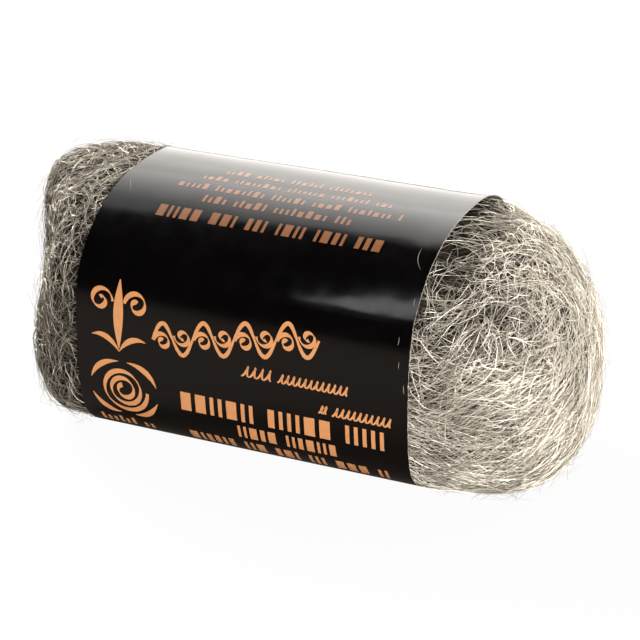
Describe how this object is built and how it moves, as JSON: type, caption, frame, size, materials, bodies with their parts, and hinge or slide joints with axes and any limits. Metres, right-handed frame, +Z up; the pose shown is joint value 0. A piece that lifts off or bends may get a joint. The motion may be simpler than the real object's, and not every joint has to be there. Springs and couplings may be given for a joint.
{
  "type": "steel wool bundle",
  "caption": "Soft roll of fine steel wool held by a wrapped, glued paper label band, with the wool bulging out as a rounded end on each side.",
  "frame": {"origin": "middle of the bounding box's underside, on the surface that the roll lies on", "axes": "+X along the roll towards its longer, rounder end; the label's front faces -Y; +Z up"},
  "size_m": [0.1958, 0.0908, 0.0809],
  "materials": {
    "steel_wool": "fine shaved steel fibres, bright and warm grey, tangled",
    "coated_paper": "gloss-coated label paper printed black, with flat orange print"
  },
  "bodies": {
    "root": {"steel_wool_roll": "steel_wool", "paper_band": "coated_paper"}
  },
  "joints": []
}
